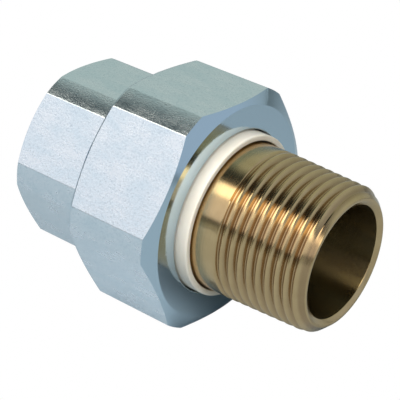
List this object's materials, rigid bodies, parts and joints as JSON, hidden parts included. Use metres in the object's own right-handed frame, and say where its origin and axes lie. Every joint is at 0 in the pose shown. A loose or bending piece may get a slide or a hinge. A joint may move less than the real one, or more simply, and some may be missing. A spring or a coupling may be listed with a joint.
{
  "type": "dielectric pipe union",
  "caption": "Dielectric pipe union: steel female end and hexagonal union nut, brass male-threaded tail, nylon insulator and rubber gasket.",
  "frame": {"origin": "on the flow axis, halfway between the female end's back face and the brass tail's open end", "axes": "+X along the flow axis towards the brass male end, +Z out of a flat of the union nut, +Y out of one of its corners"},
  "size_m": [0.0598, 0.045, 0.041],
  "materials": {
    "zinc_steel": "bright zinc plated, satin, faintly blue",
    "nylon": "moulded, semi-matte, off-white",
    "brass": "turned, lightly tarnished",
    "rubber": "matte black"
  },
  "bodies": {
    "female_half": {"female_end": "zinc_steel", "gasket": "rubber"},
    "insulator": {"insulator_sleeve": "nylon"},
    "nut": {"union_nut": "zinc_steel"},
    "tail": {"male_tail": "brass"}
  },
  "joints": [
    {"name": "unscrew_slide", "type": "slide", "parent": "female_half", "child": "insulator", "axis": [1, 0, 0], "range_m": [0, 0.006]},
    {"name": "nut_turn", "type": "hinge", "parent": "insulator", "child": "nut", "pos_m": [-0.0034, 0, 0], "axis": [1, 0, 0], "range_deg": [0, 1080]},
    {"name": "tail_swivel", "type": "hinge", "parent": "insulator", "child": "tail", "pos_m": [0, 0, 0], "axis": [1, 0, 0], "continuous": true}
  ],
  "couplings": [
    {"joint": "unscrew_slide", "follows": "nut_turn", "m_per_rad": 0.00031831}
  ]
}
